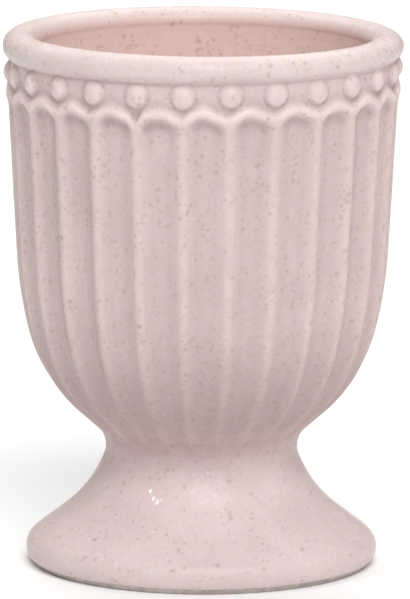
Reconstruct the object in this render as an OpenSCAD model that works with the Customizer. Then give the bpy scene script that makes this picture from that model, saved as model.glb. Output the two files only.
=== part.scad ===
/* [Rim] */
// Outside diameter over the rim roll
rim_d = 50; // [46:0.5:56]
// Width of the rim roll, seen in section
roll_w = 4.2; // [3.6:0.1:4.8]
// Height of the rim roll, seen in section
roll_h = 3.6; // [3:0.1:4.2]
// Height from the table to the top of the rim
cup_h = 67.1; // [64:0.1:76]
/* [Bowl] */
// Wall of the bowl, measured square to its side from the crest of a rib
wall = 3.8; // [3:0.1:4.6]
// Slope of the upper wall from the vertical, in degrees
wall_angle = 3.2; // [2:0.2:4.5]
// Radius of the shoulder, where the upper wall starts to turn in
shoulder_r = 52; // [44:1:60]
// Slope of the wall where the shoulder meets the belly, in degrees
shoulder_angle = 14; // [11:1:18]
// Radius of the belly
belly_r = 19.3; // [17:0.1:22]
// Slope of the flare that rises from the neck to the belly, in degrees
flare_angle = 48.3; // [44:0.5:52]
/* [Flutes and pearls] */
// Number of flutes, and of the ribs and pearls between them
flute_count = 26; // [18:1:32]
// Depth of a flute in the upper wall
flute_depth = 0.9; // [0.4:0.02:1.2]
// Width of the flat crest of a rib in the upper wall
arris_w = 0.84; // [0.5:0.02:1.4]
// Diameter of a pearl
pearl_d = 3.6; // [3:0.1:4]
// Rise of the arch that closes a flute
arch_rise = 1.45; // [1:0.05:2.2]
// How far the scalloped ridge dips under each pearl
scallop_dip = 0.8; // [0.5:0.05:1.1]
// How far the ridge swells out from the wall
ridge_swell = 0.3; // [0.1:0.02:0.4]
/* [Neck and foot] */
// Diameter of the neck
neck_d = 24.1; // [22:0.1:26]
// Height of the neck above the table
neck_h = 14.65; // [13.5:0.05:16.5]
// Radius of the hollow above the neck
upper_neck_r = 3.5; // [2.8:0.1:4.4]
// Radius of the hollow below the neck
lower_neck_r = 3; // [2.4:0.1:4]
// Largest diameter of the foot
foot_d = 44; // [41:0.2:50]
// Height of the foot's widest edge
edge_h = 1.9; // [1.5:0.1:2.3]
// Slope of the foot's skirt from the vertical, in degrees
skirt_angle = 52.4; // [50:0.2:54]
// Height of the bare clay ring under the glaze
ring_h = 0.75; // [0.5:0.05:1.1]
// Width of the ring that the cup stands on
ring_w = 3; // [2:0.1:4]
/* [Hidden] */
$fn = 96;
fine_fn = 160;
// How far a cutting or bounding shape runs past what it cuts
overrun = 5;
// How far two outlines lap over each other where they are joined or cut
lap = 0.5;

// Pearls are named pearl_01, pearl_02 and so on
function pearl_name(i) = str("pearl_", i < 10 ? "0" : "", i);

// Directions in the cup's section, where a point is [radius, height].
// A slope is measured from the vertical and leans outwards.
function along(slope) = [sin(slope), cos(slope)];
function outward(slope) = [cos(slope), -sin(slope)];
function below(slope) = [cos(slope), sin(slope)];

// Heights of the parts that stack on each other
roll_r = roll_h / 2;
roll_c = [(rim_d - roll_w) / 2, cup_h - roll_r];
// How far the roll's centre stands above the seat, as a share of half its height
roll_seat_share = 0.83;
seat_h = roll_c[1] - roll_seat_share * roll_r;

// A pearl is a ball cut off by the plain field behind it.
// How deep its centre lies behind the field, as a share of its radius
pearl_sink_share = 0.5;
// Clearance between a pearl and what it sits against
pearl_clear = 0.03;
pearl_r = pearl_d / 2;
// Radius of a pearl where the field cuts it off
pearl_face_r = pearl_r * sqrt(1 - pow(pearl_sink_share, 2));
// Height of the slope from the ridge up to the field
field_slope_h = 1;
// Height from the ridge to the rim roll, so that a pearl fits between the slope and the roll
field_h = 2 * (pearl_face_r + pearl_clear) + field_slope_h - scallop_dip;
ridge_top_h = seat_h - field_h;
// How far the ridge stands in from the outside of the rim roll
ridge_inset = 0.57;
ridge_r = rim_d / 2 - ridge_inset;
neck_r = neck_d / 2;

// Crest line of the bowl: a hollow, a straight flare, belly, shoulder and a straight wall.
// The two straight runs are solved so that the line joins the neck to the ridge.
turn_r = upper_neck_r * (1 - cos(flare_angle)) + belly_r * (cos(shoulder_angle) - cos(flare_angle))
    + shoulder_r * (cos(wall_angle) - cos(shoulder_angle));
turn_h = upper_neck_r * sin(flare_angle) + belly_r * (sin(flare_angle) - sin(shoulder_angle))
    + shoulder_r * (sin(shoulder_angle) - sin(wall_angle));
left_r = ridge_r - neck_r - turn_r;
left_h = ridge_top_h - neck_h - turn_h;
flare_run = (left_r * cos(wall_angle) - left_h * sin(wall_angle)) / sin(flare_angle - wall_angle);

neck_c = [neck_r + upper_neck_r, neck_h];
flare_foot = neck_c - upper_neck_r * outward(flare_angle);
flare_top = flare_foot + flare_run * along(flare_angle);
belly_c = flare_top - belly_r * outward(flare_angle);
belly_top = belly_c + belly_r * outward(shoulder_angle);
shoulder_c = belly_top - shoulder_r * outward(shoulder_angle);
shoulder_top = shoulder_c + shoulder_r * outward(wall_angle);

// Crest radius of the straight wall at a height
function crest_r(h) = shoulder_top[0] + (h - shoulder_top[1]) * tan(wall_angle);
// Radius of the well's straight side at a height
function well_r(h) = crest_r(h) - wall / cos(wall_angle);

// The flutes
flute_angle = 360 / flute_count;
flute_pitch = 2 * PI * ridge_r / flute_count;
arris_share = arris_w / flute_pitch;
edge_share = (1 - arris_share) / 2;
// Places across a flute, as shares of the pitch from its middle
near_share = 0.36 * edge_share;
far_share = 0.7 * edge_share;
across_shares = [-1 / 2, -edge_share, -far_share, -near_share, 0, near_share, far_share, edge_share];
across = len(across_shares);
// Depth across a flute, as a share of its full depth
function hollow_share(s) = abs(s) < edge_share ? 1 - pow(s / edge_share, 2) : 0;
// The flutes fade out in the hollow over the neck, between these two shares of its radius
fade_foot_share = 0.3;
fade_top_share = 1.4;
fade_foot_h = neck_h + fade_foot_share * upper_neck_r;
fade_top_h = neck_h + fade_top_share * upper_neck_r;
function ease(t) = let (u = max(0, min(1, t))) u * u * (3 - 2 * u);
function fade_share(h) = ease((h - fade_foot_h) / (fade_top_h - fade_foot_h));
function depth_at(p) = flute_depth * fade_share(p[1]) * sqrt(p[0] / ridge_r);

// The scalloped ridge: a lip over each arch, a low arch over each flute, and a cusp under each pearl
lip_h = 0.5;
arch_h = ridge_top_h - lip_h - arch_rise;
// Height of the cove from a flute's floor up to the arch, and a place on it with its depth
cove_h = 1.7;
cove_share = 0.4;
cove_depth_share = 0.75;
// Plain height between the coves and the band's lower edge
band_margin = 0.2;
band_h = arch_h - cove_h - band_margin;
// How far the field lies behind the line of the ribs
field_inset = 0.4;
field_r = ridge_r - field_inset;
function arch_edge_h(s) = arch_h + arch_rise * sqrt(max(0, 1 - pow(s / edge_share, 2)));
function ridge_line_h(s) = ridge_top_h - scallop_dip * (1 - cos(360 * s)) / 2;

pearl_c = [field_r - pearl_sink_share * pearl_r, seat_h - pearl_clear - pearl_face_r];

// The foot: its skirt is solved so that it joins the neck to the widest edge.
// The neck's lower hollow ends, and the skirt's hollow starts, at this slope.
neck_slope = 21;
foot_r = foot_d / 2;
edge_r = 2.3;
edge_c = [foot_r - edge_r, edge_h];
skirt_dr = foot_r - neck_r - lower_neck_r * (1 - cos(neck_slope)) - edge_r * (1 - cos(skirt_angle));
skirt_dh = neck_h - edge_h - lower_neck_r * sin(neck_slope) - edge_r * sin(skirt_angle);
turn_cos = cos(neck_slope) - cos(skirt_angle);
turn_sin = sin(skirt_angle) - sin(neck_slope);
skirt_r = (skirt_dr * cos(skirt_angle) - skirt_dh * sin(skirt_angle))
    / (turn_cos * cos(skirt_angle) - turn_sin * sin(skirt_angle));
foot_neck_c = [neck_r + lower_neck_r, neck_h];
skirt_top = foot_neck_c - lower_neck_r * below(neck_slope);
skirt_c = skirt_top + skirt_r * below(neck_slope);
skirt_foot = skirt_c - skirt_r * below(skirt_angle);
edge_top = edge_c + edge_r * below(skirt_angle);
edge_foot = edge_c + edge_r * outward(asin((edge_h - ring_h) / edge_r));

// The bare ring, set in under the glazed edge and bevelled, and the hollow under the foot
ring_lip = 0.1;
ring_bevel = 0.55;
ring_top_r = edge_foot[0] - ring_lip;
ring_foot_r = ring_top_r - ring_bevel;
hollow_r = ring_foot_r - ring_w;
hollow_slope = 50;
dome_r = 9;
dome_edge = [dome_r * cos(hollow_slope), (hollow_r - dome_r * cos(hollow_slope)) / tan(hollow_slope)];
dome_c = [0, dome_edge[1] - dome_r * sin(hollow_slope)];

// Flat region between the chord from p to q and the circle of radius r round c.
// It laps over the chord towards the circle's centre.
module arc_cap(c, r, p, q) {
    away = ((p + q) / 2 - c) / norm((p + q) / 2 - c);
    intersection() {
        translate(c) circle(r, $fn = fine_fn);
        polygon([p - lap * away, q - lap * away, q + r * away, p + r * away]);
    }
}

// Points on a circle round c, at steps from one slope to another, both ends included
function arc_points(c, r, from, to, steps) =
    [for (i = [0:steps]) c + r * outward(from + (to - from) * i / steps)];

// Loops of points. A section holds one [radius, height] pair for each place across a flute.
function fine_loop(section) = [for (i = [0:flute_count - 1], k = [0:across - 1])
    let (a = (i + across_shares[k] + 1 / 2) * flute_angle, p = section[k])
    [p[0] * cos(a), p[0] * sin(a), p[1]]];
// The well's loops have two points to a flute
function well_loop(p) = [for (i = [0:2 * flute_count - 1])
    let (a = i * flute_angle / 2) [p[0] * cos(a), p[0] * sin(a), p[1]]];

// Triangles between two loops of n points that start at points a and b, with b above a
function skin(a, b, n) = [for (c = [0:n - 1]) let (d = (c + 1) % n)
    each [[a + c, b + c, b + d], [a + c, b + d, a + d]]];
function flip(faces) = [for (f = faces) [f[0], f[2], f[1]]];
// Triangles that close the flat ring from a fine loop in to a well loop, facing up
function ring_faces(fine, well) = [for (i = [0:2 * flute_count - 1])
    let (half = across / 2, n = flute_count * across, w = well + i, v = well + (i + 1) % (2 * flute_count))
    each concat([[w, v, fine + (i * half + half / 2) % n]],
        [for (k = [0:half / 2 - 1]) [w, fine + i * half + k + 1, fine + i * half + k]],
        [for (k = [half / 2:half - 1]) [v, fine + (i * half + k + 1) % n, fine + i * half + k]])];
// Triangles of a flat or dished end, facing up
function fan(loop, n, hub) = [for (c = [0:n - 1]) [hub, loop + (c + 1) % n, loop + c]];

// Sections of the bowl's outside, from the neck up: the crest line with the flutes sunk into it
function fluted(p, slope) = [for (s = across_shares) p - depth_at(p) * hollow_share(s) * outward(slope)];
bowl_outer = concat(
    [for (i = [0:4]) let (a = flare_angle * i / 5) fluted(neck_c - upper_neck_r * outward(a), a)],
    [for (t = [0, 0.5]) fluted(flare_foot + t * (flare_top - flare_foot), flare_angle)],
    [for (i = [0:7]) let (a = flare_angle + (shoulder_angle - flare_angle) * i / 8)
        fluted(belly_c + belly_r * outward(a), a)],
    [for (i = [0:2]) let (a = shoulder_angle + (wall_angle - shoulder_angle) * i / 2)
        fluted(shoulder_c + shoulder_r * outward(a), a)],
    [for (h = [(shoulder_top[1] + band_h) / 2, band_h]) fluted([crest_r(h), h], 0)]);

// The well: the belly and shoulder set in by the wall, and a round floor that starts at this slope
floor_slope = 58;
floor_r = belly_r - wall + belly_c[0] / cos(floor_slope);
floor_c = [0, belly_c[1] + belly_c[0] * tan(floor_slope)];
well_points = concat([[well_r(band_h), band_h]],
    arc_points(shoulder_c, shoulder_r - wall, wall_angle, shoulder_angle, 2),
    [for (i = [1:5]) belly_c
        + (belly_r - wall) * outward(shoulder_angle + (floor_slope - shoulder_angle) * i / 5)],
    [for (i = [1:3]) floor_c + floor_r * outward(floor_slope + (90 - floor_slope) * i / 4)]);

// Bowl: fluted outside, plain round well, and a flat base that stands on the foot
module bowl() {
    n = flute_count * across;
    m = 2 * flute_count;
    rows = len(bowl_outer);
    well = rows * n;
    deep = well + (len(well_points) - 1) * m;
    hubs = deep + m;
    color("#dac5c1") polyhedron(
        points = concat([for (s = bowl_outer) each fine_loop(s)], [for (p = well_points) each well_loop(p)],
            [[0, 0, neck_h], [0, 0, floor_c[1] - floor_r]]),
        faces = concat([for (j = [0:rows - 2]) each skin(j * n, (j + 1) * n, n)],
            flip(fan(0, n, hubs)),
            ring_faces((rows - 1) * n, well),
            [for (j = [1:len(well_points) - 1]) each flip(skin(well + j * m, well + (j - 1) * m, m))],
            fan(deep, m, hubs + 1)));
}

// Sections of the band's outside: the heads of the flutes, the ridge over them and the field
function on_ridge(h, proud) = [crest_r(h) + proud, h];
function in_flute(s, h, share) = [crest_r(h) - share * flute_depth * hollow_share(s), h];
band_outer = [
    bowl_outer[len(bowl_outer) - 1],
    [for (s = across_shares) in_flute(s, arch_edge_h(s) - cove_h, 1)],
    [for (s = across_shares) in_flute(s, arch_edge_h(s) - cove_share * cove_h, cove_depth_share)],
    [for (s = across_shares) on_ridge(arch_edge_h(s), ridge_swell * hollow_share(s))],
    [for (s = across_shares) on_ridge(ridge_line_h(s), ridge_swell)],
    [for (s = across_shares) [field_r, ridge_line_h(s) + field_slope_h]],
    [for (s = across_shares) [field_r, seat_h]]];

// Scallop band: a collar that heads the flutes with arches and carries the pearls
module scallop_band() {
    n = flute_count * across;
    m = 2 * flute_count;
    rows = len(band_outer);
    well = rows * n;
    color("#e3d0cb") polyhedron(
        points = concat([for (s = band_outer) each fine_loop(s)],
            well_loop([well_r(band_h), band_h]), well_loop([well_r(seat_h), seat_h])),
        faces = concat([for (j = [0:rows - 2]) each skin(j * n, (j + 1) * n, n)],
            flip(ring_faces(0, well)),
            ring_faces((rows - 1) * n, well + m),
            flip(skin(well, well + m, m))));
}

// Where the rim roll's inner side runs into the well, in degrees below its middle
inner_slope = 8;
// Rim roll: an oval bead, round at its sides, with a flat seat on the band
module rim_roll() {
    aside = [roll_w / 2 - roll_r, 0];
    seat_in = well_r(seat_h);
    seat_out = (roll_c + aside)[0] + roll_r * sqrt(1 - pow(roll_seat_share, 2));
    inner_side = roll_c - aside - roll_r * below(inner_slope);
    color("#ead9d3") rotate_extrude($fn = fine_fn) difference() {
        union() {
            for (c = [roll_c - aside, roll_c + aside]) translate(c) circle(roll_r);
            translate(roll_c - aside - [0, roll_r]) square([2 * aside[0], roll_h]);
            polygon([[seat_in, seat_h], [seat_out, seat_h], roll_c, inner_side]);
        }
        translate([0, seat_h - overrun]) square([rim_d, overrun]);
    }
}

// Pearl: a ball with a flat back on the field, between the ridge and the rim roll
module pearl(i) {
    color("#ecdcd7") rotate((i - 1) * flute_angle) intersection() {
        translate([pearl_c[0], 0, pearl_c[1]]) sphere(pearl_r);
        translate([field_r + pearl_clear, -pearl_d, pearl_c[1] - pearl_d]) cube(2 * pearl_d);
    }
}

// Foot: neck, skirt and rounded edge, with a domed hollow beneath
module foot() {
    color("#dfcbc6") difference() {
        rotate_extrude($fn = fine_fn) difference() {
            union() {
                polygon([[0, ring_h], edge_foot, edge_top, skirt_foot, skirt_top, [neck_r, neck_h], [0, neck_h]]);
                arc_cap(edge_c, edge_r, edge_foot, edge_top);
            }
            arc_cap(skirt_c, skirt_r, skirt_top, skirt_foot);
            arc_cap(foot_neck_c, lower_neck_r, [neck_r, neck_h], skirt_top);
        }
        hollow();
    }
}

// Hollow under the foot: a cone that closes in a dome
module hollow() {
    low = [hollow_r + overrun * tan(hollow_slope), -overrun];
    rotate_extrude($fn = fine_fn) union() {
        polygon([[0, -overrun], low, dome_edge, [0, dome_edge[1]]]);
        intersection() {
            translate(dome_c) circle(dome_r);
            translate([0, dome_edge[1] - lap]) square(dome_r);
        }
    }
}

// Foot ring: the bare edge that the cup stands on
module foot_ring() {
    color("#b5a9a2") difference() {
        rotate_extrude($fn = fine_fn)
            polygon([[0, 0], [ring_foot_r, 0], [ring_top_r, ring_h], [0, ring_h]]);
        hollow();
    }
}

foot_ring();
foot();
bowl();
scallop_band();
rim_roll();
for (i = [1:flute_count]) pearl(i);
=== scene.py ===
"""Footed egg cup in speckled pale pink stoneware: fluted bowl, pearl row, rolled rim."""

import math

import bpy
import numpy as np
from mathutils import Matrix, Vector


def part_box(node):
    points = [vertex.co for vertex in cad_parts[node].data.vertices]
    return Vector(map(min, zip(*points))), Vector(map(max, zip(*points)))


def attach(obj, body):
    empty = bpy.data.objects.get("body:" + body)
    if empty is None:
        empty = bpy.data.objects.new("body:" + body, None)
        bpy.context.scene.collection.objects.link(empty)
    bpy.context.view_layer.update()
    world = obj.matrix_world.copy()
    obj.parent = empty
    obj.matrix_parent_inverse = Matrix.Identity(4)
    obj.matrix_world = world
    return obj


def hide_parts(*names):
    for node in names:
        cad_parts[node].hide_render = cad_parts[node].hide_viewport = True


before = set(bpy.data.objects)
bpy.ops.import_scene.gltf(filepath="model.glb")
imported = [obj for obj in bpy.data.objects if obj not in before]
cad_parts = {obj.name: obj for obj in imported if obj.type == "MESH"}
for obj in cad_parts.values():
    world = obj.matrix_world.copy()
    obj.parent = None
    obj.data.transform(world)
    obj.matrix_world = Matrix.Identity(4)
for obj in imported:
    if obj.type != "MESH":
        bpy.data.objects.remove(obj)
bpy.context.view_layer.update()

# A piece's lengths are in millimetres, as in the part's source, until mesh_piece turns them to metres.
# The room's lengths are in metres.
MM = 0.001
TURN = 2 * math.pi
rng = np.random.default_rng(7)


def corners(node):
    """Lowest and highest corner of a CAD node, in millimetres."""
    lo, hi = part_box(node)
    return [v / MM for v in lo], [v / MM for v in hi]


def share_of_way(low, high, x):
    """0 below low, 1 above high, with a soft change between."""
    u = np.clip((x - low) / (high - low), 0, 1)
    return u * u * (3 - 2 * u)


def soft_max(a, b, blend):
    """The larger of two heights, with a fillet where they are within blend of each other."""
    h = np.clip(blend - np.abs(a - b), 0, None) / blend
    return np.maximum(a, b) + h * h * blend / 4


# Sizes that the frame gives
PEARLS = sorted(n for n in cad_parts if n.startswith("pearl_"))
FLUTES = len(PEARLS)
RING_TOP = corners("foot_ring")[1][2]
RING_R = corners("foot_ring")[1][0]
FOOT_R = corners("foot")[1][0]
NECK_H = corners("foot")[1][2]
BAND_H = corners("scallop_band")[0][2]
SEAT_H = corners("rim_roll")[0][2]
RIM_R = corners("rim_roll")[1][0]
CUP_H = corners("rim_roll")[1][2]

# Sizes of the part's source that no box gives
ROLL_W = 4.2
ROLL_H = 3.6
NECK_R = 12.05
UPPER_NECK_R = 3.5
FLARE_ANGLE = math.radians(48.3)
BELLY_R = 19.3
SHOULDER_ANGLE = math.radians(14)
SHOULDER_R = 52
WALL_ANGLE = math.radians(3.2)
WALL = 3.8
RIDGE_INSET = 0.57
FIELD_INSET = 0.4
FIELD_SLOPE_H = 1.0
RIDGE_SWELL = 0.3
LIP_H = 0.5
ARRIS_W = 0.84
FLUTE_DEPTH = 0.9
PEARL_R = 1.8
PEARL_SINK = 0.9
PEARL_CLEAR = 0.03
PEARL_FACE_R = math.sqrt(PEARL_R ** 2 - PEARL_SINK ** 2)
ARCH_RISE = 1.45
SCALLOP_DIP = 0.8
FADE_SHARES = (0.3, 1.4)
LOWER_NECK_R = 3.0
NECK_SLOPE = math.radians(21)
SKIRT_ANGLE = math.radians(52.4)
EDGE_R = 2.3
EDGE_H = 1.9

ROLL_C = (RIM_R - ROLL_W / 2, CUP_H - ROLL_H / 2)
RIDGE_R = RIM_R - RIDGE_INSET
FIELD_H = 2 * (PEARL_FACE_R + PEARL_CLEAR) + FIELD_SLOPE_H - SCALLOP_DIP
RIDGE_TOP = SEAT_H - FIELD_H
FIELD_R = RIDGE_R - FIELD_INSET
PITCH = TURN * RIDGE_R / FLUTES
PEARL_C = (FIELD_R - PEARL_SINK, SEAT_H - PEARL_CLEAR - PEARL_FACE_R)


# Outlines in the cup's section, where a point is [radius, height]
def outward(slope):
    return np.array([math.cos(slope), -math.sin(slope)])


def arc(centre, radius, start, end, step=0.12):
    """Points round a centre, from one slope of the wall to another. A negative radius is a hollow."""
    count = max(3, int(abs(radius * (end - start)) / step))
    return [centre + radius * outward(a) for a in np.linspace(start, end, count)]


def bowl_outline():
    """The crest line of the ribs, from the neck to the top of the ridge."""
    turn = (UPPER_NECK_R * (outward(FLARE_ANGLE) - outward(0)) * -1
            + BELLY_R * (outward(SHOULDER_ANGLE) - outward(FLARE_ANGLE))
            + SHOULDER_R * (outward(WALL_ANGLE) - outward(SHOULDER_ANGLE)))
    left = np.array([RIDGE_R - NECK_R, RIDGE_TOP - NECK_H]) - turn
    flare = np.array([math.sin(FLARE_ANGLE), math.cos(FLARE_ANGLE)])
    wall = np.array([math.sin(WALL_ANGLE), math.cos(WALL_ANGLE)])
    flare_run, wall_run = np.linalg.solve(np.array([flare, wall]).T, left)
    neck_c = np.array([NECK_R + UPPER_NECK_R, NECK_H])
    hollow = arc(neck_c, -UPPER_NECK_R, 0, FLARE_ANGLE)
    flare_top = hollow[-1] + flare_run * flare
    belly_c = flare_top - BELLY_R * outward(FLARE_ANGLE)
    belly = arc(belly_c, BELLY_R, FLARE_ANGLE, SHOULDER_ANGLE)
    shoulder_c = belly[-1] - SHOULDER_R * outward(SHOULDER_ANGLE)
    shoulder = arc(shoulder_c, SHOULDER_R, SHOULDER_ANGLE, WALL_ANGLE)
    points = np.array(hollow + belly + shoulder[1:] + [shoulder[-1] + wall_run * wall])
    return points, belly_c, shoulder_c


def foot_outline():
    """The foot's outside, from the neck down to the glaze line."""
    neck_c = np.array([NECK_R + LOWER_NECK_R, NECK_H])
    hollow = arc(neck_c, -LOWER_NECK_R, 0, -NECK_SLOPE)
    edge_c = np.array([FOOT_R - EDGE_R, EDGE_H])
    edge_top = edge_c + EDGE_R * outward(-SKIRT_ANGLE)
    line = np.array([math.sin(SKIRT_ANGLE), -math.cos(SKIRT_ANGLE)])
    turn = outward(-NECK_SLOPE) - outward(-SKIRT_ANGLE)
    skirt_r, _ = np.linalg.solve(np.array([turn, line]).T, edge_top - hollow[-1])
    skirt_c = hollow[-1] + skirt_r * outward(-NECK_SLOPE)
    skirt = arc(skirt_c, -skirt_r, -NECK_SLOPE, -SKIRT_ANGLE)
    straight = [skirt[-1] + t * (edge_top - skirt[-1]) for t in np.linspace(0, 1, 18)]
    edge = arc(edge_c, EDGE_R, -SKIRT_ANGLE, math.asin((EDGE_H - RING_TOP) / EDGE_R))
    return np.array(hollow[:-1] + skirt[:-1] + straight[:-1] + edge)


CREST, BELLY_C, SHOULDER_C = bowl_outline()


def crest_r(h):
    return np.interp(h, CREST[:, 1], CREST[:, 0])


WOBBLE = 0.05
WOBBLE_SEED = 3
WOBBLE_WAVES = (2, 3, 5, 7)


def uneven(theta, h):
    """Slow hand-made unevenness round and up the cup, between twice WOBBLE inward and nothing."""
    r = np.random.default_rng(WOBBLE_SEED)
    total = 0
    for k in WOBBLE_WAVES:
        total = total + np.sin(k * theta + h / r.uniform(6, 14) + r.uniform(0, TURN)) / k
    return WOBBLE * total / 1.2 - WOBBLE


# The relief of one flute, with its arch and ridge, drawn once on a fine grid and softened by the glaze
TILE_STEP = 0.05
# The tile starts here, and below it a flute keeps its section
TILE_FOOT = BAND_H - 8
GLAZE_SOFTNESS = 0.25
# How far below its top line the ridge's swell fades out
SWELL_FADE = 1.6
# The cove that leads down from an arch into its flute has a steep and a gentle part, which add up.
# Each has a height and a power that says how suddenly it starts.
COVE_STEEP = (0.65, 1.8)
COVE_GENTLE = (2.6, 1.3)
STEEP_SHARE = 0.62
# A flute's section is a power curve. It gets boxier by BOX_GAIN over these heights below the arches.
FLUTE_POWER = 2.3
BOX_GAIN = 1.0
BOX_HEIGHTS = (6, 2)


def softened(field, sigma, wrap):
    """A grid blurred by sigma millimetres, across the flute where wrap is true, or else up the wall."""
    reach = int(4 * sigma / TILE_STEP)
    kernel = np.exp(-0.5 * (np.arange(-reach, reach + 1) * TILE_STEP / sigma) ** 2)
    kernel /= kernel.sum()
    axis = 1 if wrap else 0
    pad = [(0, 0), (0, 0)]
    pad[axis] = (reach, reach)
    wide = np.pad(field, pad, mode="wrap" if wrap else "edge")
    return np.apply_along_axis(lambda row: np.convolve(row, kernel, mode="valid"), axis, wide)


def cove(below):
    """Share of a flute's depth that is reached at a height below its arch."""
    steep, gentle = (1 - np.exp(-(below / height) ** power) for height, power in (COVE_STEEP, COVE_GENTLE))
    return STEEP_SHARE * steep + (1 - STEEP_SHARE) * gentle


def relief_tile():
    """Height over the crest line, by height up the wall and share of a flute from its middle."""
    heights = np.arange(TILE_FOOT, SEAT_H + 1, TILE_STEP)
    count = int(PITCH / TILE_STEP)
    shares = (np.arange(count) / count) - 0.5
    s, h = np.meshgrid(shares, heights)
    x = np.abs(s) * PITCH
    half = (PITCH - ARRIS_W) / 2
    lip = RIDGE_TOP - LIP_H
    arch = lip - ARCH_RISE * (1 - np.sqrt(np.clip(1 - (x / half) ** 2, 0, None)))
    line = RIDGE_TOP - SCALLOP_DIP * (1 - np.cos(TURN * s)) / 2
    power = FLUTE_POWER + BOX_GAIN * share_of_way(lip - BOX_HEIGHTS[0], lip - BOX_HEIGHTS[1], h)
    across = np.clip(1 - np.clip(x / half, 0, 1) ** power, 0, 1)
    swell = RIDGE_SWELL * (1 - share_of_way(0, SWELL_FADE, line - h))
    sunk = cove(np.clip(arch - h, 0, None))
    tile = np.where(h < arch, swell * (1 - sunk) - FLUTE_DEPTH * across * sunk, swell)
    up = share_of_way(0, FIELD_SLOPE_H, h - line)
    tile = tile * (1 - up) + (FIELD_R - crest_r(h)) * up
    return softened(softened(tile, GLAZE_SOFTNESS, True), GLAZE_SOFTNESS, False)


TILE = relief_tile()


def tile_at(share, h):
    """The tile's height at a share of a flute from its middle, by straight steps between its points."""
    rows, cols = TILE.shape
    col = (share + 0.5) % 1 * cols
    row = np.clip((h - TILE_FOOT) / TILE_STEP, 0, rows - 1.001)
    c0, r0 = np.floor(col).astype(int), np.floor(row).astype(int)
    fc, fr = col - c0, row - r0
    c1 = (c0 + 1) % cols
    c0 = c0 % cols
    low = TILE[r0, c0] * (1 - fc) + TILE[r0, c1] * fc
    high = TILE[r0 + 1, c0] * (1 - fc) + TILE[r0 + 1, c1] * fc
    return low * (1 - fr) + high * fr


# Small differences from flute to flute and pearl to pearl, as in a hand-finished mould
ARCH_LIFT = rng.normal(0, 0.08, FLUTES)
ARCH_SHIFT = rng.normal(0, 0.012, FLUTES)
ARCH_LEAN = rng.normal(-0.12, 0.08, FLUTES)
PEARL_SHIFT = rng.normal(0, 0.09, (FLUTES, 2))
PEARL_SIZE = 1 - np.abs(rng.normal(0, 0.025, FLUTES))
CUSP_DROP = np.abs(rng.normal(0, 0.12, FLUTES))
# One cusp hangs lower than the rest, as in the photo
LONG_CUSP, LONG_CUSP_DROP = 18, 0.9
CUSP_DROP[LONG_CUSP] = LONG_CUSP_DROP
# How far to each side of a rib its cusp's drop reaches
CUSP_REACH = 0.7
# The ring of ribs and pearls as a whole is turned by this from the solids' places, as in the photo
FIRST_RIB = math.radians(1.0)
# Below the first of these heights all flutes are alike, and above the second they differ in full
FLUTES_DIFFER = (BAND_H - 3, BAND_H + 2)
# The decorated band sits a little higher towards +X, and the rim's top a little lower near there, in
# millimetres for each millimetre of radius
BAND_TILT = 0.011
RIM_TILT = 0.004
RIM_LOW_AT = 0.6


def flute_parts(theta):
    """Each point's flute, and its share of the way across from the flute's middle."""
    place = (theta - FIRST_RIB) / TURN * FLUTES
    index = np.floor(place).astype(int)
    return index % FLUTES, place - index - 0.5


def eased(values, theta):
    """A value per flute, eased into its neighbour's at the ribs."""
    place = (theta - FIRST_RIB) / TURN * FLUTES - 0.5
    i = np.floor(place).astype(int)
    w = share_of_way(0, 1, place - i)
    return values[i % FLUTES] * (1 - w) + values[(i + 1) % FLUTES] * w


def band_rise(theta):
    return BAND_TILT * RIDGE_R * np.cos(theta)


def relief(theta, h):
    """How far the glazed surface stands out from the crest line."""
    _, share = flute_parts(theta)
    top = share_of_way(*FLUTES_DIFFER, h)
    share = share + top * eased(ARCH_SHIFT, theta)
    near_rib = np.exp(-((1 - 2 * np.abs(share)) * PITCH / 2 / CUSP_REACH) ** 2)
    drop = CUSP_DROP[np.round((theta - FIRST_RIB) / TURN * FLUTES).astype(int) % FLUTES] * near_rib
    lean = eased(ARCH_LEAN, theta) * np.sin(TURN * share)
    lifted = h - top * (eased(ARCH_LIFT, theta) + lean - drop + band_rise(theta))
    depth = tile_at(share, np.maximum(lifted, TILE_FOOT + TILE_STEP))
    fade_low, fade_high = (NECK_H + share * UPPER_NECK_R for share in FADE_SHARES)
    fade = share_of_way(fade_low, fade_high, h) * np.sqrt(crest_r(h) / RIDGE_R)
    return np.where(h < BAND_H, depth * fade, depth)


def pearl_distance(theta, h):
    """Distance of each point from the nearest pearl's middle, and that pearl's number."""
    place = (theta - FIRST_RIB) / TURN * FLUTES
    i = np.round(place).astype(int)
    x = (place - i) * PITCH - PEARL_SHIFT[i % FLUTES, 0]
    y = h - PEARL_C[1] - PEARL_SHIFT[i % FLUTES, 1] - band_rise(theta)
    return np.hypot(x, y), i % FLUTES


# Fillets of glaze: at a pearl's foot and top, with the heights over its middle between which the fillet
# grows, and under the roll
PEARL_FILLETS = (0.3, 0.6)
FILLET_GROWS = (-1.2, 0.6)
ROLL_FILLET = 0.35
# How much of the band's rise the roll's underside follows
ROLL_FOLLOWS = 0.6


def plain_r(theta, h):
    """Radius of bowl and band without pearls or roll."""
    return crest_r(h) + relief(theta, h)


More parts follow.
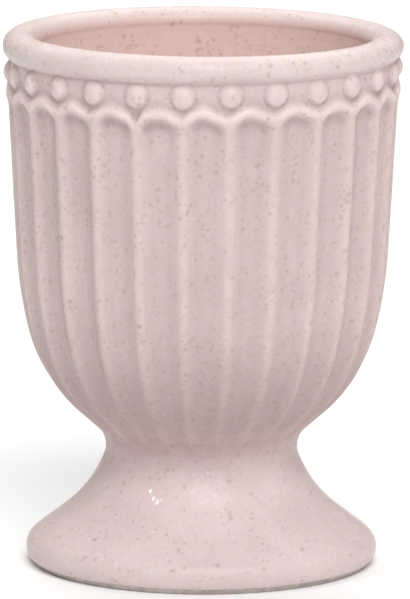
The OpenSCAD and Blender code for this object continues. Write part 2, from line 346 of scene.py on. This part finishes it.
def skin_r(theta, h, pearls=True):
    """Radius of the glazed outside at a height: bowl and band, the roll's underside, and pearls."""
    r = plain_r(theta, h)
    drop = (ROLL_C[1] - h + ROLL_FOLLOWS * band_rise(theta)) / (ROLL_H / 2)
    roll = ROLL_C[0] + ROLL_W / 2 * np.sqrt(np.clip(1 - drop ** 2, 0, None))
    roll = np.where(drop < 1, roll, 0)
    if pearls:
        d, i = pearl_distance(theta, h)
        size = PEARL_R * PEARL_SIZE[i]
        ball = PEARL_C[0] + np.sqrt(np.clip(size ** 2 - d ** 2, 0, None))
        small, large = PEARL_FILLETS
        fillet = small + (large - small) * share_of_way(*FILLET_GROWS, h - PEARL_C[1])
        r = soft_max(r, np.where(d < size, ball, 0), fillet)
    r = soft_max(r, roll, ROLL_FILLET)
    return r + uneven(theta, h)


# How far round a place its surroundings are compared, and the height over them that counts in full
FINE_RELIEF = (0.45, 0.12)
BROAD_RELIEF = (1.2, 0.35)


def ridgeness(surface, t, h, reach, full):
    """Compares the surface with its surroundings: 1 on a crest, 0 on a plain wall, -1 in a crease."""
    turn = reach / RIDGE_R
    beside = surface(t + turn, h) + surface(t - turn, h) + surface(t, h + reach) + surface(t, h - reach)
    return np.clip((surface(t, h) - beside / 4) / full, -1, 1)


def skin_tints(t, h):
    """Fine relief, nothing of the inside, and broad relief of the cup's outside."""
    return ridgeness(skin_r, t, h, *FINE_RELIEF), 0.0, ridgeness(plain_r, t, h, *BROAD_RELIEF)


def turned(theta, r, h):
    """Points of a surface given as radius by angle and height."""
    return np.stack([r * np.cos(theta), r * np.sin(theta), h + 0 * r], -1)


def facing(east, up):
    """Unit directions square to two directions on a surface."""
    n = np.cross(east, up)
    return n / np.maximum(np.linalg.norm(n, axis=-1, keepdims=True), 1e-9)


def skin_point(t, h):
    return turned(t, skin_r(t, h), h)


def normals_of(place, t, v, turn=0.08 / RIDGE_R, step=0.08):
    """Outward directions of a surface given as points by angle and a second value."""
    return facing(place(t + turn, v) - place(t - turn, v), place(t, v + step) - place(t, v - step))


def revolved(outline, theta):
    """Loops of a plain round outline given as [radius, height] points."""
    outline = np.asarray(outline)
    return turned(theta[None, :], outline[:, :1] + 0 * theta[None, :], outline[:, 1:])


def angles(count):
    return np.arange(count) / count * TURN


def loop_normals(loops):
    """Directions of loops of points from their neighbours. One loop alone is left to Blender."""
    if len(loops) < 2:
        return np.zeros_like(loops)
    return facing(np.roll(loops, -1, 1) - np.roll(loops, 1, 1), np.gradient(loops, axis=0))


# What each point of a piece tells the glaze: fine relief, the plain inside, and broad relief
TINTS = ("ridges", "inside", "shade_and_pools")


class Shell:
    """A closed solid of loops round the cup, added one after another along its section."""

    def __init__(self, columns):
        self.columns, self.points, self.normals, self.tints = columns, [], [], []

    def add(self, loops, normals=None, ridges=0.0, inside=0.0, shade_and_pools=0.0):
        loops = np.asarray(loops).reshape(-1, self.columns, 3)
        self.points.append(loops)
        self.normals.append(loop_normals(loops) if normals is None else normals.reshape(loops.shape))
        tints = [np.broadcast_to(v, loops.shape[:2]) for v in (ridges, inside, shade_and_pools)]
        self.tints.append(np.stack(tints, -1))

    def piece(self, name, node, material, hubs=None):
        """Closes the loops into a ring, or with a point below the first loop and one above the last."""
        points = np.concatenate(self.points)
        rows, cols = points.shape[:2]
        count = rows if hubs is None else rows - 1
        r, c = np.meshgrid(np.arange(count), np.arange(cols), indexing="ij")
        a, b = r * cols + c, r * cols + (c + 1) % cols
        up = (r + 1) % rows * cols
        faces = np.stack([a, b, up + (c + 1) % cols, up + c], -1).reshape(-1, 4).tolist()
        points = points.reshape(-1, 3)
        normals = np.concatenate(self.normals).reshape(-1, 3)
        tints = np.concatenate(self.tints).reshape(-1, len(TINTS))
        if hubs is not None:
            first, last = len(points), len(points) + 1
            top = (rows - 1) * cols
            points = np.concatenate([points, hubs])
            normals = np.concatenate([normals, np.zeros((2, 3))])
            tints = np.concatenate([tints, tints[[0, -1]]])
            for c in range(cols):
                d = (c + 1) % cols
                faces += [(d, c, first), (top + c, top + d, last)]
        return mesh_piece(name, node, points, faces, material, normals, tints)


def mesh_piece(name, node, points, faces, material, normals, tints):
    """A piece from millimetre points. It rides on the cup's one body and stands for a CAD node."""
    mesh = bpy.data.meshes.new(name)
    mesh.from_pydata((points * MM).tolist(), [], faces)
    mesh.shade_smooth()
    for column, title in enumerate(TINTS):
        held = mesh.attributes.new(title, "FLOAT", "POINT")
        held.data.foreach_set("value", np.ascontiguousarray(tints[:, column], dtype=np.float32))
    mesh.normals_split_custom_set_from_vertices(normals.tolist())
    mesh.materials.append(material)
    obj = bpy.data.objects.new(name, mesh)
    bpy.context.collection.objects.link(obj)
    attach(obj, "root")
    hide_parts(node)
    return obj


def well_r(h):
    return crest_r(h) - WALL / math.cos(WALL_ANGLE)


def well_outline():
    """The plain round inside, from the bowl's top edge down to the floor, and its lowest height."""
    floor_slope = math.radians(58)
    floor_r = BELLY_R - WALL + BELLY_C[0] / math.cos(floor_slope)
    floor_c = np.array([0, BELLY_C[1] + BELLY_C[0] * math.tan(floor_slope)])
    points = [[well_r(BAND_H), BAND_H]]
    points += arc(SHOULDER_C, SHOULDER_R - WALL, WALL_ANGLE, SHOULDER_ANGLE, 1)
    points += arc(BELLY_C, BELLY_R - WALL, SHOULDER_ANGLE, floor_slope, 1)[1:]
    points += arc(floor_c, floor_r, floor_slope, math.pi / 2, 1)[1:-1]
    return points, floor_c[1] - floor_r


def bowl(material):
    columns, rows = FLUTES * 24, 110
    lengths = np.concatenate([[0], np.cumsum(np.linalg.norm(np.diff(CREST, axis=0), axis=1))])
    heights = np.interp(np.linspace(0, lengths[-1], rows), lengths, CREST[:, 1])
    heights = np.append(heights[heights < BAND_H - 0.1], BAND_H)
    t, h = np.meshgrid(angles(columns), heights)
    well, floor_h = well_outline()
    shell = Shell(columns)
    shell.add(skin_point(t, h), normals_of(skin_point, t, h), *skin_tints(t, h))
    shell.add(revolved(well, angles(columns)), inside=1.0)
    return shell.piece("bowl_glazed", "bowl", material, [[0, 0, NECK_H], [0, 0, floor_h]])


# Each pearl's piece reaches this far from its middle, and the band dips under it
PEARL_REACH = 1.5
PEARL_DIP = 0.15


def band(material):
    columns, rows = FLUTES * 44, 74
    t, h = np.meshgrid(angles(columns), np.linspace(BAND_H, SEAT_H, rows))
    d, _ = pearl_distance(t, h)
    dip = PEARL_DIP * (1 - share_of_way(PEARL_REACH - 0.3, PEARL_REACH, d))
    shell = Shell(columns)
    shell.add(turned(t, skin_r(t, h) - dip, h), normals_of(skin_point, t, h), *skin_tints(t, h))
    shell.add(revolved([[well_r(SEAT_H), SEAT_H], [well_r(BAND_H), BAND_H]], angles(columns)), inside=1.0)
    return shell.piece("band_glazed", "scallop_band", material)


def pearl(i, material):
    """The glazed skin over one pearl, with its back inside the band."""
    rings, columns = 12, 40
    turn_by = angles(columns)
    place = i / FLUTES * TURN + FIRST_RIB
    aside, up = PEARL_SHIFT[i]
    middle = np.array([place * RIDGE_R + aside, PEARL_C[1] + up + band_rise(place)])
    room = (SEAT_H - middle[1]) / np.maximum(np.sin(turn_by), 0.001)
    reach = np.where(turn_by < math.pi, np.minimum(room, PEARL_REACH), PEARL_REACH)
    share = np.linspace(1, 0.04, rings)[:, None]
    x = middle[0] + share * reach * np.cos(turn_by)
    h = middle[1] + share * reach * np.sin(turn_by)
    t = x / RIDGE_R
    back = turned(t[:1], skin_r(t[:1], h[:1], pearls=False) - 2 * PEARL_DIP, h[:1])
    shell = Shell(columns)
    shell.add(back)
    shell.add(skin_point(t, h), normals_of(skin_point, t, h), ridgeness(skin_r, t, h, *FINE_RELIEF))
    ends = np.array([middle[0] / RIDGE_R, middle[0] / RIDGE_R])
    radii = np.array([FIELD_R - 2 * PEARL_DIP, skin_r(ends[:1], middle[1:])[0]])
    return shell.piece(f"pearl_glazed_{i + 1:02d}", PEARLS[i], material, turned(ends, radii, middle[1]))


# How much of a crest the glaze takes the roll's outside and the foot's rounded edge for, and the heights
# between which that edge begins
ROLL_CREST = 0.25
EDGE_CREST = 0.5
EDGE_BEGINS = (4, 2)


def roll_point(t, a):
    """A place on the rim roll, by angle round the cup and angle up round the roll's section."""
    h = ROLL_C[1] + ROLL_H / 2 * np.sin(a)
    plain = ROLL_C[0] + ROLL_W / 2 * np.cos(a) + uneven(t, h) * (np.cos(a) + 1) / 2
    r = np.where(a < 0, skin_r(t, h), plain)
    return turned(t, r, h - RIM_TILT * RIM_R * (1 + np.cos(t - RIM_LOW_AT)) * np.clip(np.sin(a), 0, 1))


def rim_roll(material):
    columns, rows = 520, 64
    inner_slope = math.radians(8)
    start = math.asin((SEAT_H - ROLL_C[1]) / (ROLL_H / 2))
    t, a = np.meshgrid(angles(columns), np.linspace(start, math.pi + inner_slope, rows))
    shell = Shell(columns)
    within = share_of_way(math.radians(130), math.pi, a)
    shell.add(roll_point(t, a), normals_of(roll_point, t, a, step=0.02), ROLL_CREST * (1 - within), within)
    inside = ROLL_C[1] - ROLL_H / 2 * math.sin(inner_slope)
    heights = np.linspace(inside, SEAT_H, 5)[1:]
    shell.add(revolved([[well_r(h), h] for h in heights], angles(columns)), inside=1.0)
    return shell.piece("roll_glazed", "rim_roll", material)


# The standing ring's outer and inner radius, and the hollow under the foot: a cone with a dome on it
RING_FOOT_R = RING_R - 0.55
RING_W = 3
HOLLOW_R = RING_FOOT_R - RING_W
HOLLOW_SLOPE = math.radians(50)
DOME_R = 9


def hollow_r(h):
    return HOLLOW_R - h * math.tan(HOLLOW_SLOPE)


def foot(material):
    columns = 416
    edge_r = DOME_R * math.cos(HOLLOW_SLOPE)
    edge_h = (HOLLOW_R - edge_r) / math.tan(HOLLOW_SLOPE)
    dome_c = np.array([0, edge_h - DOME_R * math.sin(HOLLOW_SLOPE)])
    dome = arc(dome_c, DOME_R, -math.pi / 2 + 0.05, -HOLLOW_SLOPE, 0.6)
    outline = foot_outline()[::-1]
    t, h = np.meshgrid(angles(columns), outline[:, 1])
    r = np.broadcast_to(outline[:, :1], t.shape) + uneven(t, h)
    shell = Shell(columns)
    shell.add(revolved(dome + [[hollow_r(RING_TOP), RING_TOP]], angles(columns)))
    shell.add(turned(t, r, h), ridges=EDGE_CREST * share_of_way(*EDGE_BEGINS, h))
    return shell.piece("foot_glazed", "foot", material, [[0, 0, dome_c[1] + DOME_R], [0, 0, NECK_H]])


def foot_ring(material):
    columns = 416
    bevel = 0.2
    inner = arc(np.array([hollow_r(0) + 2 * bevel, bevel]), bevel, math.radians(140), math.pi / 2, 0.05)
    edge = arc(np.array([RING_FOOT_R - bevel, bevel]), bevel, math.pi / 2, 0.6, 0.06)
    outline = [[hollow_r(RING_TOP), RING_TOP]] + inner + edge + [[RING_R - 0.12, RING_TOP]]
    shell = Shell(columns)
    shell.add(revolved(outline, angles(columns)))
    return shell.piece("ring_clay", "foot_ring", material)


# Materials
class Nodes:
    """Builds a material's node tree with short calls. Textures read places in millimetres."""

    def __init__(self, name):
        self.material = bpy.data.materials.new(name)
        self.material.use_nodes = True
        self.tree = self.material.node_tree
        self.shader = self.tree.nodes["Principled BSDF"]
        place = self.tree.nodes.new("ShaderNodeTexCoord").outputs["Object"]
        scaled = self.node("ShaderNodeVectorMath", {0: place, "Scale": 1 / MM}, operation="SCALE")
        self.place = scaled.outputs[0]
        self.height = self.node("ShaderNodeSeparateXYZ", {0: self.place}).outputs[2]

    def node(self, kind, inputs=None, **settings):
        made = self.tree.nodes.new(kind)
        for key, value in settings.items():
            setattr(made, key, value)
        for key, value in (inputs or {}).items():
            if isinstance(value, bpy.types.NodeSocket):
                self.tree.links.new(value, made.inputs[key])
            else:
                made.inputs[key].default_value = value
        return made

    def link(self, value, socket):
        self.tree.links.new(value, self.shader.inputs[socket])

    def held(self, title):
        """A value that the mesh holds at each of its points, by its title in TINTS."""
        return self.node("ShaderNodeAttribute", attribute_name=title).outputs["Fac"]

    def shifted(self, shift):
        """Places moved aside, so that two textures of one kind don't match."""
        moved = self.node("ShaderNodeVectorMath", {0: self.place, 1: (shift,) * 3}, operation="ADD")
        return moved.outputs[0]

    def noise(self, size, detail=2.0, rough=0.5, shift=0.0):
        """Cloudy noise whose blots are about size millimetres across."""
        settings = {"Vector": self.shifted(shift), "Scale": 1 / size, "Detail": detail, "Roughness": rough}
        return self.node("ShaderNodeTexNoise", settings).outputs[0]

    def spread(self, value, low, high, to_low=0.0, to_high=1.0):
        """Maps a value between two limits, softly, to two others."""
        limits = {"Value": value, "From Min": low, "From Max": high, "To Min": to_low, "To Max": to_high}
        return self.node("ShaderNodeMapRange", limits, interpolation_type="SMOOTHSTEP").outputs[0]

    def tint(self, share, colour, factor):
        """Multiplies a colour by another where share is 1."""
        return self.mix(share, colour, factor, "MULTIPLY")

    def math(self, operation, a, b):
        return self.node("ShaderNodeMath", {0: a, 1: b}, operation=operation).outputs[0]

    def times(self, a, b):
        return self.math("MULTIPLY", a, b)

    def mix(self, share, a, b, blend="MIX"):
        made = self.node("ShaderNodeMix", data_type="RGBA", blend_type=blend)
        for key, value in ((0, share), (6, a), (7, b)):
            if isinstance(value, bpy.types.NodeSocket):
                self.tree.links.new(value, made.inputs[key])
            else:
                made.inputs[key].default_value = value
        return made.outputs[2]

    def bump(self, height):
        """Fine relief, given in millimetres."""
        made = self.node("ShaderNodeBump", {"Height": height, "Distance": MM, "Strength": 1.0})
        self.link(made.outputs[0], "Normal")

    def dots(self, spacing, radius, chosen, soft=0.4, shift=0.0):
        """Uneven dots scattered at a spacing. Chosen is the share of places that has a dot."""
        place = self.shifted(shift)
        bend = self.node("ShaderNodeTexNoise", {"Vector": place, "Scale": 1 / (2.5 * radius)})
        bends = {0: bend.outputs["Color"], 1: (1.6 * radius,) * 3, 2: place}
        bent = self.node("ShaderNodeVectorMath", bends, operation="MULTIPLY_ADD")
        cells = self.node("ShaderNodeTexVoronoi", {"Vector": bent.outputs[0], "Scale": 1 / spacing})
        parts = self.node("ShaderNodeSeparateColor", {0: cells.outputs["Color"]})
        here = self.math("LESS_THAN", parts.outputs[0], chosen)
        size = self.spread(parts.outputs[1], 0, 1, radius * 0.4 / spacing, radius / spacing)
        inside = self.math("SUBTRACT", size, cells.outputs["Distance"])
        return self.times(here, self.spread(inside, 0, soft * radius / spacing))


# Colours of the glaze and the clay, as light reflected
PINK = (0.64, 0.512, 0.498, 1)
ROSE = (0.605, 0.475, 0.468, 1)
SAND = (0.61, 0.482, 0.415, 1)
CREAM = (0.76, 0.65, 0.57, 1)
MAUVE = (0.43, 0.32, 0.31, 1)
SPECK = (0.4, 0.28, 0.252, 1)
SALMON = (0.79, 0.61, 0.575, 1)
CLAY_DARK = (0.47, 0.41, 0.38, 1)
CLAY_PALE = (0.60, 0.53, 0.49, 1)
CLAY_SPECK = (0.26, 0.21, 0.19, 1)
# Factors for painted shade low on the bowl, for pooled glaze and painted shade in pockets, for the blush
# over the neck, for painted light on the rim and the foot, and for a lighter band and band relief
LOW_BOWL_SHADE = (0.79, 0.77, 0.775, 1)
POOL_AND_SHADE_TINT = (0.74, 0.72, 0.725, 1)
BLUSH = (0.99, 0.93, 0.93, 1)
RIM_PAINTED_LIGHT = (1.04, 1.09, 1.08, 1)
BAND_LIGHTER = (1.06, 1.06, 1.06, 1)
BAND_CRESTS_LIGHTER = (1.11, 1.13, 1.14, 1)
FOOT_PAINTED_LIGHT = (1.13, 1.17, 1.17, 1)
# Heights between which the glaze changes. Painted shade darkens it down the lower bowl, where specks also
# crowd, and eases off again over the neck. The crests' cream fades down the bowl. A blush lies just over
# the neck. The foot has fewer specks and painted light that makes it lighter.
LOW_BOWL = (36, 22)
LOW_BOWL_END = (16, 21)
CREST_CREAM_HEIGHTS = (16, 27)
OVER_NECK = (19.5, 17)
OVER_NECK_END = (14.6, 15.6)
PLAIN_FOOT = (14, 12)
FOOT_LIGHT_HEIGHTS = (14.5, 10)


def glaze_ground(n, ridges, broad, inside):
    """Mottled pink, warmer inside. Cream on crests and darker colour in creases and pockets are partly the
    glaze thinning and pooling, partly painted highlight and painted shade.
    """
    colour = n.mix(n.spread(n.noise(9, 2), 0.35, 0.7), PINK, ROSE)
    colour = n.mix(n.times(n.spread(n.noise(1.6, 4, 0.65), 0.5, 0.64), 0.5), colour, SAND)
    colour = n.mix(n.times(n.spread(n.noise(0.7, 3, 0.6, 40), 0.52, 0.68), 0.2), colour, CREAM)
    # Cream on crests, fine and broad: partly the glaze thinning over edges, partly painted highlight that
    # lifts the crests over the flutes
    crest = n.math("MAXIMUM", n.spread(ridges, 0.3, 1, 0, 0.4), n.spread(broad, 0.0, 0.7, 0, 0.45))
    crest_share = n.spread(n.noise(1.8, 3, 0.6, 11), 0.3, 0.65, 0.45, 1)
    crest_share = n.times(crest_share, n.spread(n.height, *CREST_CREAM_HEIGHTS, 0.15, 1))
    colour = n.mix(n.times(crest, crest_share), colour, CREAM)
    # Darker where the broad relief is hollow, under the arches and down the flutes: partly glaze pooling
    # there, partly painted shade in these pockets
    colour = n.tint(n.spread(broad, 0, -1), colour, POOL_AND_SHADE_TINT)
    # Mauve in fine creases, round the pearls and along the ridge: partly pooled glaze, partly painted
    # shade in the creases
    colour = n.mix(n.times(n.spread(ridges, 0, -1), 0.36), colour, MAUVE)
    return n.mix(inside, colour, SALMON)


def speck_crowd(n, ridges, low):
    """Share of places with a speck: more in clusters low on the bowl, fewer on rim, foot and crests."""
    plain = n.math("MAXIMUM", n.spread(n.height, SEAT_H - 2, SEAT_H), n.spread(n.height, *PLAIN_FOOT))
    crowd = n.spread(n.noise(2.6, 3, 0.6, 71), 0.38, 0.58, 0.25, 1.0)
    crowd = n.math("ADD", crowd, n.times(low, n.spread(n.noise(4, 2, 0.5, 55), 0.35, 0.6, 0.2, 0.8)))
    crowd = n.math("SUBTRACT", crowd, n.times(plain, 0.33))
    return n.times(crowd, n.spread(ridges, 0.1, 0.7, 1, 0.35))


def blush_and_painted_light(n, colour, ridges, inside, low):
    """Painted shade low on the bowl, a blush over the neck, a lighter band, and painted light on rim and
    foot.
    """
    # Painted shade: the lower bowl darker towards the neck
    colour = n.tint(low, colour, LOW_BOWL_SHADE)
    blush = n.times(n.spread(n.height, *OVER_NECK), n.spread(n.height, *OVER_NECK_END))
    colour = n.tint(n.times(blush, n.spread(n.noise(3, 2, 0.5, 61), 0.35, 0.6)), colour, BLUSH)
    outside = n.math("SUBTRACT", 1.0, inside)
    # The band lighter, and lighter again on its crests and pearls
    banded = n.times(n.spread(n.height, RIDGE_TOP - 3, RIDGE_TOP - 0.5), outside)
    colour = n.tint(banded, colour, BAND_LIGHTER)
    colour = n.tint(n.times(banded, n.spread(ridges, 0, 0.8)), colour, BAND_CRESTS_LIGHTER)
    # Painted light: the rim roll lighter and whiter, a painted sheen on its up-facing top
    rim = n.times(n.spread(n.height, SEAT_H - 0.3, SEAT_H + 1), outside)
    colour = n.tint(rim, colour, RIM_PAINTED_LIGHT)
    # Painted light: the foot lighter and whiter, as on its lit up-facing top
    return n.tint(n.spread(n.height, *FOOT_LIGHT_HEIGHTS), colour, FOOT_PAINTED_LIGHT)


# Spacing, largest radius, shift and strength of the large, the small and the fine specks
SPECK_SIZES = ((1.1, 0.52, 3.0, 0.52), (0.7, 0.38, 9.0, 0.52), (0.5, 0.24, 5.0, 0.4))
HALO_R = 0.75


def specks(n, colour, crowd, ridges):
    """Large, small and fine specks, and pinholes in deep creases."""
    for spacing, radius, shift, strength in SPECK_SIZES:
        here = n.dots(spacing, radius, crowd, 1.0, shift=shift)
        colour = n.mix(n.times(here, strength), colour, SPECK)
    holes = n.times(n.spread(ridges, -0.4, -0.8), n.dots(0.6, 0.22, 0.45, shift=1.0))
    return n.mix(n.times(holes, 0.8), colour, SPECK)


def glaze():
    """Satin speckled glaze: creamy on crests where it thins and deeper pink where it pools, partly painted
    highlight and painted shade, with painted shade low on the bowl and painted light on rim and foot.
    """
    n = Nodes("speckled_glaze")
    ridges, inside, broad = (n.held(title) for title in TINTS)
    # Low on the bowl: painted shade there, and more specks
    low = n.times(n.spread(n.height, *LOW_BOWL), n.spread(n.height, *LOW_BOWL_END))
    crowd = speck_crowd(n, ridges, low)
    colour = glaze_ground(n, ridges, broad, inside)
    # Sandy halos round the large specks, at the same places
    spacing, _, shift, _ = SPECK_SIZES[0]
    halos = n.times(n.dots(spacing, HALO_R, crowd, 1.0, shift=shift), 0.6)
    colour = n.mix(halos, colour, SAND)
    colour = blush_and_painted_light(n, colour, ridges, inside, low)
    n.link(specks(n, colour, crowd, ridges), "Base Color")
    n.link(n.spread(n.noise(1.3, 2, 0.5, 5), 0.3, 0.7, 0.48, 0.6), "Roughness")
    # The coat is patchy, so that it mirrors the windows in broken glints
    n.link(n.spread(n.noise(0.5, 2, 0.6, 91), 0.42, 0.58, 0.02, 0.3), "Coat Weight")
    n.shader.inputs["Coat Roughness"].default_value = 0.06
    n.shader.inputs["Specular IOR Level"].default_value = 0.2
    n.shader.inputs["IOR"].default_value = 1.5
    peel = n.times(n.noise(1.6, 2, 0.5, 21), 0.03)
    grain = n.times(n.noise(0.35, 2, 0.5, 31), 0.006)
    pits = n.times(n.dots(1.3, 0.12, 0.2, shift=8.0), -0.03)
    n.bump(n.math("ADD", n.math("ADD", peel, grain), pits))
    return n.material


def bare_clay():
    """Unglazed grey-brown stoneware, rough and speckled."""
    n = Nodes("bare_stoneware")
    colour = n.mix(n.spread(n.noise(0.9, 3, 0.6), 0.35, 0.65), CLAY_DARK, CLAY_PALE)
    colour = n.mix(n.times(n.dots(0.5, 0.14, 0.3), 0.35), colour, CLAY_SPECK)
    n.link(colour, "Base Color")
    n.shader.inputs["Roughness"].default_value = 0.85
    n.bump(n.times(n.noise(0.25, 3, 0.6), 0.06))
    return n.material


# The room
LIGHT_DISTANCE = 1.5
MIDDLE_OF_CUP = (0, 0, 0.034)
# Four small panes high on the left, that the glaze mirrors as glints on the foot and the rim
WINDOW = (-0.55, -0.27, 0.65)
PANES = ((-0.09, -0.05), (0.0, 0.02), (0.03, 0.09), (0.12, -0.04))


def area_light(name, place, size, watts, aim=MIDDLE_OF_CUP):
    """A round light, size metres across."""
    light = bpy.data.lights.new(name, "AREA")
    light.shape = "DISK"
    light.size = size
    light.energy = watts
    obj = bpy.data.objects.new(name, light)
    bpy.context.collection.objects.link(obj)
    obj.location = place
    obj.rotation_mode = "QUATERNION"
    obj.rotation_quaternion = (Vector(aim) - Vector(place)).to_track_quat("-Z", "Y")
    return obj


def round_the_cup(azimuth, elevation):
    """A place in the room, by degrees to the right of the camera's side and degrees up."""
    a, e = math.radians(azimuth), math.radians(elevation)
    out, up = LIGHT_DISTANCE * math.cos(e), LIGHT_DISTANCE * math.sin(e)
    return out * math.sin(a), -out * math.cos(a), up


def floor():
    """A plain pale floor, wide enough for every view."""
    mesh = bpy.data.meshes.new("floor")
    half = 3.0
    corner_points = [(-half, -half, 0), (half, -half, 0), (half, half, 0), (-half, half, 0)]
    mesh.from_pydata(corner_points, [], [(0, 1, 2, 3)])
    obj = bpy.data.objects.new("floor", mesh)
    bpy.context.collection.objects.link(obj)
    white = Nodes("pale_floor")
    white.shader.inputs["Base Color"].default_value = (0.94, 0.94, 0.94, 1)
    white.shader.inputs["Roughness"].default_value = 0.9
    mesh.materials.append(white.material)


def studio_light():
    """Soft light from the front, the right and behind, the small panes, and a little from all round."""
    world = bpy.data.worlds.new("studio")
    world.use_nodes = True
    sky = world.node_tree.nodes["Background"]
    sky.inputs["Color"].default_value = (1, 1, 1, 1)
    sky.inputs["Strength"].default_value = 0.08
    bpy.context.scene.world = world
    area_light("key", round_the_cup(11, 45), 1.05, 16.5)
    area_light("right", round_the_cup(90, 30), 1.0, 3.7)
    area_light("back", (-0.03, 0.42, 0.68), 1.0, 5.2, aim=(0, 0.22, 0))
    for pane, (shift, rise) in enumerate(PANES):
        area_light(f"window_{pane}", (WINDOW[0] + shift, WINDOW[1], WINDOW[2] + rise), 0.045, 0.3)


def camera():
    """The photograph's own view, found from the rim's and the foot's ellipses."""
    picture_long_side, sensor = 599, 36.0
    focal_pixels = 7312
    data = bpy.data.cameras.new("camera")
    data.sensor_width = sensor
    data.lens = focal_pixels * sensor / picture_long_side
    obj = bpy.data.objects.new("camera", data)
    bpy.context.collection.objects.link(obj)
    obj.location = (0, -0.9, 0.1936)
    down, turn, roll = math.radians(10.11), math.radians(-0.022), math.radians(0.255)
    obj.rotation_mode = "QUATERNION"
    obj.rotation_quaternion = (Matrix.Rotation(turn, 3, "Z") @ Matrix.Rotation(math.pi / 2 - down, 3, "X")
                               @ Matrix.Rotation(roll, 3, "Z")).to_quaternion()
    data.clip_start, data.clip_end = 0.05, 20
    bpy.context.scene.camera = obj


glazed = glaze()
foot_ring(bare_clay())
foot(glazed)
bowl(glazed)
band(glazed)
rim_roll(glazed)
for number in range(FLUTES):
    pearl(number, glazed)
floor()
studio_light()
camera()
bpy.context.scene.view_settings.view_transform = "Standard"
